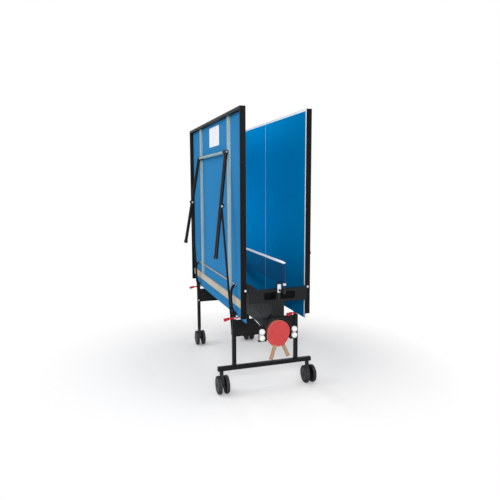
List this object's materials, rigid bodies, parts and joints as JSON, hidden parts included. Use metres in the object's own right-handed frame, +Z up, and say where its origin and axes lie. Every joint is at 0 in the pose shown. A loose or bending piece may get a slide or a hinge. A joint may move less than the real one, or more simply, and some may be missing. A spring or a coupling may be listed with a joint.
{
  "type": "folding table tennis table",
  "caption": "Folding table tennis table on casters, stored upright: hinged halves with folding leg frames and struts, central carriage, net, racket and ball holder.",
  "frame": {"origin": "on the floor, in the middle of the carriage", "axes": "+X across the stored boards, along the length of the unfolded table; +Y along the net, from the end with the racket holder to the other end; +Z up"},
  "size_m": [0.72, 1.83, 1.902],
  "materials": {
    "frame_black": "semi-gloss powder coat",
    "plate_grey": "satin powder coat",
    "channel_grey": "satin powder coat",
    "bolt_steel": "zinc plated",
    "board_blue": "matt laminate",
    "label_white": "blank sticker",
    "black_plastic": "fine texture",
    "wheel_black": "moulded",
    "lever_red": "moulded",
    "clip_white": "moulded",
    "post_dark": "satin",
    "net_dark": "open knotted mesh",
    "band_white": "woven tape",
    "racket_wood": "oiled",
    "racket_rubber": "smooth sheet, red in front and black behind",
    "ball_white": "satin"
  },
  "bodies": {
    "carriage": {"uprights": "frame_black", "near_base_tube": "frame_black", "tube_plugs": "black_plastic", "near_panel": "frame_black", "far_panel": "frame_black", "pivot_arms": "frame_black", "pivot_rods": "channel_grey", "centre_beam": "plate_grey", "end_arms": "plate_grey", "end_bars": "plate_grey", "badge_plates": "black_plastic", "net_guides": "black_plastic", "racket_holder": "black_plastic", "frame_bolts": "bolt_steel"},
    "left_half": {"left_board": "board_blue", "left_rim": "frame_black", "left_channels": "channel_grey", "left_saddles": "frame_black", "left_label": "label_white"},
    "right_half": {"right_board": "board_blue", "right_rim": "frame_black", "right_channels": "channel_grey", "right_saddles": "frame_black"},
    "left_leg_frame": {"left_legs": "frame_black", "left_hinge_tube": "channel_grey", "left_feet": "black_plastic", "left_leg_bolts": "bolt_steel"},
    "right_leg_frame": {"right_legs": "frame_black", "right_hinge_tube": "channel_grey", "right_feet": "black_plastic", "right_leg_bolts": "bolt_steel"},
    "near_left_strut": {"near_left_strut": "frame_black"},
    "near_right_strut": {"near_right_strut": "frame_black"},
    "far_left_strut": {"far_left_strut": "frame_black"},
    "far_right_strut": {"far_right_strut": "frame_black"},
    "near_left_swivel": {"near_left_fork": "black_plastic"},
    "near_left_wheels": {"near_left_wheels": "wheel_black"},
    "near_right_swivel": {"near_right_fork": "black_plastic"},
    "near_right_wheels": {"near_right_wheels": "wheel_black"},
    "far_left_swivel": {"far_left_fork": "black_plastic"},
    "far_left_wheels": {"far_left_wheels": "wheel_black"},
    "far_right_swivel": {"far_right_fork": "black_plastic"},
    "far_right_wheels": {"far_right_wheels": "wheel_black"},
    "near_left_lever": {"near_left_lever": "lever_red"},
    "near_right_lever": {"near_right_lever": "lever_red"},
    "far_left_lever": {"far_left_lever": "lever_red"},
    "far_right_lever": {"far_right_lever": "lever_red"},
    "net": {"net_brackets": "black_plastic", "net_clips": "clip_white", "net_posts": "post_dark", "net_cloth": "net_dark", "net_band": "band_white"},
    "front_racket": {"front_racket_blade": "racket_wood", "front_racket_rubbers": "racket_rubber"},
    "rear_racket": {"rear_racket_blade": "racket_wood", "rear_racket_rubbers": "racket_rubber"},
    "low_left_ball": {"low_left_ball": "ball_white"},
    "high_left_ball": {"high_left_ball": "ball_white"},
    "low_right_ball": {"low_right_ball": "ball_white"},
    "high_right_ball": {"high_right_ball": "ball_white"}
  },
  "joints": [
    {"name": "left_fold", "type": "hinge", "parent": "carriage", "child": "left_half", "pos_m": [-0.217, 0, 0.748], "axis": [0, -1, 0], "range_deg": [0, 90]},
    {"name": "left_leg_fold", "type": "hinge", "parent": "left_half", "child": "left_leg_frame", "pos_m": [-0.237, 0, 1.644], "axis": [0, -1, 0], "range_deg": [-81.5, 0]},
    {"name": "right_fold", "type": "hinge", "parent": "carriage", "child": "right_half", "pos_m": [0.217, 0, 0.748], "axis": [0, 1, 0], "range_deg": [0, 90]},
    {"name": "right_leg_fold", "type": "hinge", "parent": "right_half", "child": "right_leg_frame", "pos_m": [0.237, 0, 1.644], "axis": [0, 1, 0], "range_deg": [-81.5, 0]},
    {"name": "near_left_strut_swing", "type": "hinge", "parent": "carriage", "child": "near_left_strut", "pos_m": [-0.236, -0.5385, 0.40174], "axis": [0, -1, 0], "range_deg": [0, 89.23]},
    {"name": "near_right_strut_swing", "type": "hinge", "parent": "carriage", "child": "near_right_strut", "pos_m": [0.236, -0.5385, 0.40174], "axis": [0, 1, 0], "range_deg": [0, 89.23]},
    {"name": "far_left_strut_swing", "type": "hinge", "parent": "carriage", "child": "far_left_strut", "pos_m": [-0.236, 0.5385, 0.40174], "axis": [0, -1, 0], "range_deg": [0, 89.23]},
    {"name": "far_right_strut_swing", "type": "hinge", "parent": "carriage", "child": "far_right_strut", "pos_m": [0.236, 0.5385, 0.40174], "axis": [0, 1, 0], "range_deg": [0, 89.23]},
    {"name": "near_left_caster_swivel", "type": "hinge", "parent": "carriage", "child": "near_left_swivel", "pos_m": [-0.322, -0.555, 0.15], "axis": [0, 0, 1], "continuous": true},
    {"name": "near_left_wheel_roll", "type": "hinge", "parent": "near_left_swivel", "child": "near_left_wheels", "pos_m": [-0.322, -0.584, 0.0625], "axis": [1, 0, 0], "continuous": true},
    {"name": "near_right_caster_swivel", "type": "hinge", "parent": "carriage", "child": "near_right_swivel", "pos_m": [0.322, -0.555, 0.15], "axis": [0, 0, 1], "continuous": true},
    {"name": "near_right_wheel_roll", "type": "hinge", "parent": "near_right_swivel", "child": "near_right_wheels", "pos_m": [0.322, -0.584, 0.0625], "axis": [1, 0, 0], "continuous": true},
    {"name": "far_left_caster_swivel", "type": "hinge", "parent": "carriage", "child": "far_left_swivel", "pos_m": [-0.23, 0.555, 0.15], "axis": [0, 0, 1], "continuous": true},
    {"name": "far_left_wheel_roll", "type": "hinge", "parent": "far_left_swivel", "child": "far_left_wheels", "pos_m": [-0.23, 0.526, 0.0625], "axis": [1, 0, 0], "continuous": true},
    {"name": "far_right_caster_swivel", "type": "hinge", "parent": "carriage", "child": "far_right_swivel", "pos_m": [0.23, 0.555, 0.15], "axis": [0, 0, 1], "continuous": true},
    {"name": "far_right_wheel_roll", "type": "hinge", "parent": "far_right_swivel", "child": "far_right_wheels", "pos_m": [0.23, 0.526, 0.0625], "axis": [1, 0, 0], "continuous": true},
    {"name": "near_left_lever_pull", "type": "hinge", "parent": "carriage", "child": "near_left_lever", "pos_m": [-0.23, -0.574, 0.52], "axis": [0, 1, 0], "range_deg": [0, 15]},
    {"name": "near_right_lever_pull", "type": "hinge", "parent": "carriage", "child": "near_right_lever", "pos_m": [0.23, -0.574, 0.52], "axis": [0, 1, 0], "range_deg": [0, 15]},
    {"name": "far_left_lever_pull", "type": "hinge", "parent": "carriage", "child": "far_left_lever", "pos_m": [-0.23, 0.574, 0.52], "axis": [0, 1, 0], "range_deg": [0, 15]},
    {"name": "far_right_lever_pull", "type": "hinge", "parent": "carriage", "child": "far_right_lever", "pos_m": [0.23, 0.574, 0.52], "axis": [0, 1, 0], "range_deg": [0, 15]},
    {"name": "net_height", "type": "slide", "parent": "carriage", "child": "net", "axis": [0, 0, 1], "range_m": [-0.03, 0]},
    {"name": "front_racket_pull", "type": "slide", "parent": "carriage", "child": "front_racket", "axis": [0, 0, -1], "range_m": [0, 0.2]},
    {"name": "rear_racket_pull", "type": "slide", "parent": "carriage", "child": "rear_racket", "axis": [0, 0, -1], "range_m": [0, 0.2]},
    {"name": "low_left_ball_pull", "type": "slide", "parent": "carriage", "child": "low_left_ball", "axis": [0, -1, 0], "range_m": [0, 0.06]},
    {"name": "high_left_ball_pull", "type": "slide", "parent": "carriage", "child": "high_left_ball", "axis": [0, -1, 0], "range_m": [0, 0.06]},
    {"name": "low_right_ball_pull", "type": "slide", "parent": "carriage", "child": "low_right_ball", "axis": [0, -1, 0], "range_m": [0, 0.06]},
    {"name": "high_right_ball_pull", "type": "slide", "parent": "carriage", "child": "high_right_ball", "axis": [0, -1, 0], "range_m": [0, 0.06]}
  ],
  "couplings": [
    {"joint": "left_leg_fold", "follows": "left_fold", "ratio": -0.90556},
    {"joint": "right_leg_fold", "follows": "right_fold", "ratio": -0.90556},
    {"joint": "near_left_strut_swing", "follows": "left_fold", "ratio": 0.99132},
    {"joint": "near_right_strut_swing", "follows": "right_fold", "ratio": 0.99132},
    {"joint": "far_left_strut_swing", "follows": "left_fold", "ratio": 0.99132},
    {"joint": "far_right_strut_swing", "follows": "right_fold", "ratio": 0.99132}
  ]
}
